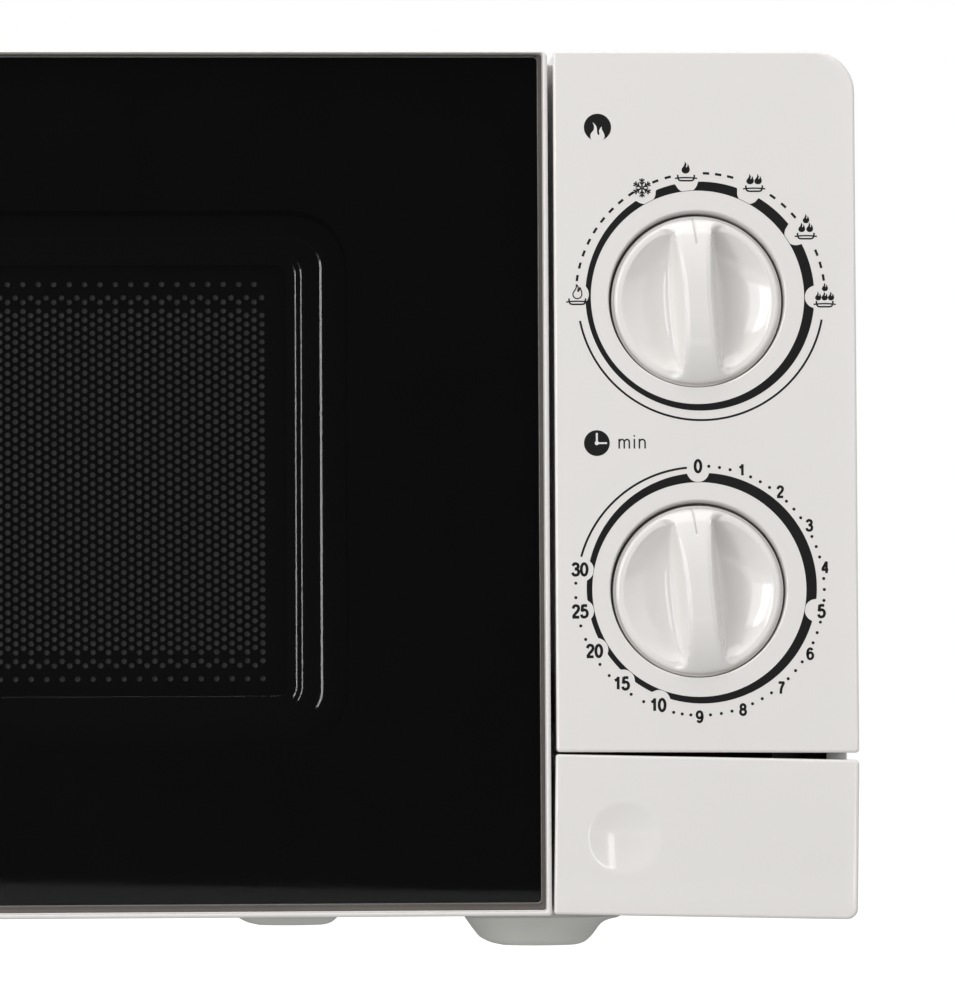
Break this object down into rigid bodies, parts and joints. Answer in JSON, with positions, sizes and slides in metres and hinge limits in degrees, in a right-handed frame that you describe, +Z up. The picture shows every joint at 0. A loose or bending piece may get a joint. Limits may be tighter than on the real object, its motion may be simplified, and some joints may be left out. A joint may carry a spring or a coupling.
{
  "type": "microwave oven",
  "caption": "Countertop microwave oven with a left-hinged glass door, two dials, a push-to-open button and a turntable.",
  "frame": {"origin": "on the ground at the middle of the footprint, knobs and rear spacers included", "axes": "+X to the right seen from the front, +Y to the back, +Z up; the door's face looks along -Y"},
  "size_m": [0.44, 0.336, 0.258],
  "materials": {
    "white_enamel": "gloss",
    "white_plastic": "satin",
    "cavity_enamel": "satin",
    "galvanised_steel": "satin",
    "spring_steel": "satin",
    "mica": "matte",
    "foot_plastic": "matte",
    "black_plastic": "matte",
    "dark_plastic": "matte",
    "ivory_plastic": "matte",
    "front_glass": "gloss",
    "clear_film": "gloss",
    "tray_glass": "gloss",
    "lamp_glass": "gloss",
    "black_enamel": "satin",
    "core_iron": "matte",
    "copper": "satin",
    "bell_brass": "satin",
    "can_aluminium": "satin",
    "circuit_board": "satin"
  },
  "bodies": {
    "cabinet": {"outer_wrap": "white_enamel", "base_plate": "galvanised_steel", "back_plate": "galvanised_steel", "front_plate": "cavity_enamel", "cavity_box": "cavity_enamel", "waveguide_cover": "mica", "foot_front_left": "foot_plastic", "foot_front_right": "foot_plastic", "foot_rear_left": "foot_plastic", "foot_rear_right": "foot_plastic", "rear_spacers": "black_plastic", "casing_screws": "galvanised_steel", "cord_gland": "black_plastic", "filter_board": "circuit_board", "line_fuse": "lamp_glass", "waveguide": "galvanised_steel", "magnetron": "can_aluminium", "transformer_core": "core_iron", "transformer_windings": "copper", "hv_capacitor": "can_aluminium", "capacitor_clamp": "galvanised_steel", "hv_diode": "black_plastic", "thermal_cutout": "black_plastic", "lamp_holder": "galvanised_steel", "oven_lamp": "lamp_glass", "fan_shroud": "dark_plastic", "fan_motor": "galvanised_steel", "turntable_motor": "galvanised_steel", "control_panel": "white_plastic", "panel_screws": "galvanised_steel", "timer_unit": "ivory_plastic", "timer_bell": "bell_brass", "latch_board": "ivory_plastic", "lower_door_switch": "black_plastic", "middle_door_switch": "black_plastic", "upper_door_switch": "black_plastic", "button_spring": "spring_steel", "upper_hinge": "galvanised_steel", "lower_hinge": "galvanised_steel"},
    "door": {"door_frame": "white_plastic", "door_glass": "front_glass", "door_pan": "black_enamel", "window_screen": "black_enamel", "inner_window": "clear_film", "choke_cover": "dark_plastic", "hook_spring": "spring_steel"},
    "door_hook": {"door_hook": "ivory_plastic"},
    "release_button": {"release_button": "white_plastic"},
    "release_lever": {"release_lever": "ivory_plastic"},
    "power_control": {"power_knob": "white_plastic", "power_shaft": "spring_steel"},
    "timer_control": {"timer_knob": "white_plastic", "timer_shaft": "spring_steel"},
    "turntable": {"turntable_coupler": "ivory_plastic"},
    "tray": {"glass_tray": "tray_glass"},
    "roller_ring": {"roller_ring": "dark_plastic"},
    "roller_1": {"roller_1": "ivory_plastic"},
    "roller_2": {"roller_2": "ivory_plastic"},
    "roller_3": {"roller_3": "ivory_plastic"},
    "fan": {"fan_blade": "ivory_plastic"}
  },
  "joints": [
    {"name": "door_swing", "type": "hinge", "parent": "cabinet", "child": "door", "pos_m": [-0.211, -0.146, 0.134], "axis": [0, 0, -1], "range_deg": [0, 105]},
    {"name": "hook_slide", "type": "slide", "parent": "door", "child": "door_hook", "axis": [0, 0, 1], "range_m": [0, 0.0039], "stiffness_N_per_m": 200, "springref_m": -0.006, "deforming": ["hook_spring"]},
    {"name": "button_press", "type": "slide", "parent": "cabinet", "child": "release_button", "axis": [0, 1, 0], "range_m": [0, 0.006], "stiffness_N_per_m": 400, "springref_m": -0.005, "deforming": ["button_spring"]},
    {"name": "lever_turn", "type": "hinge", "parent": "cabinet", "child": "release_lever", "pos_m": [0.133, -0.12, 0.057], "axis": [1, 0, 0], "range_deg": [0, 17.2]},
    {"name": "power_turn", "type": "hinge", "parent": "cabinet", "child": "power_control", "pos_m": [0.1741, -0.155, 0.18615], "axis": [0, 1, 0], "range_deg": [-83.6, 91.4]},
    {"name": "timer_turn", "type": "hinge", "parent": "cabinet", "child": "timer_control", "pos_m": [0.1741, -0.155, 0.1029], "axis": [0, 1, 0], "range_deg": [0, 285]},
    {"name": "table_spin", "type": "hinge", "parent": "cabinet", "child": "turntable", "pos_m": [-0.0444, 0.014, 0.04], "axis": [0, 0, 1], "continuous": true},
    {"name": "tray_lift", "type": "slide", "parent": "turntable", "child": "tray", "axis": [0, 0, 1], "range_m": [0, 0.02]},
    {"name": "ring_spin", "type": "hinge", "parent": "cabinet", "child": "roller_ring", "pos_m": [-0.0444, 0.014, 0.0423], "axis": [0, 0, 1], "continuous": true},
    {"name": "roller_1_spin", "type": "hinge", "parent": "roller_ring", "child": "roller_1", "pos_m": [0.0561, 0.014, 0.0423], "axis": [1, 0, 0], "continuous": true},
    {"name": "roller_2_spin", "type": "hinge", "parent": "roller_ring", "child": "roller_2", "pos_m": [-0.09465, 0.10104, 0.0423], "axis": [-0.5, 0.866, 0], "continuous": true},
    {"name": "roller_3_spin", "type": "hinge", "parent": "roller_ring", "child": "roller_3", "pos_m": [-0.09465, -0.07304, 0.0423], "axis": [-0.5, -0.866, 0], "continuous": true},
    {"name": "fan_spin", "type": "hinge", "parent": "cabinet", "child": "fan", "pos_m": [0.166, 0.11, 0.168], "axis": [0, 1, 0], "continuous": true}
  ],
  "couplings": [
    {"joint": "hook_slide", "follows": "button_press", "ratio": 0.65},
    {"joint": "lever_turn", "follows": "button_press", "rad_per_m": 50},
    {"joint": "ring_spin", "follows": "table_spin", "ratio": 0.5},
    {"joint": "roller_1_spin", "follows": "table_spin", "ratio": -6.2812},
    {"joint": "roller_2_spin", "follows": "table_spin", "ratio": -6.2812},
    {"joint": "roller_3_spin", "follows": "table_spin", "ratio": -6.2812}
  ]
}
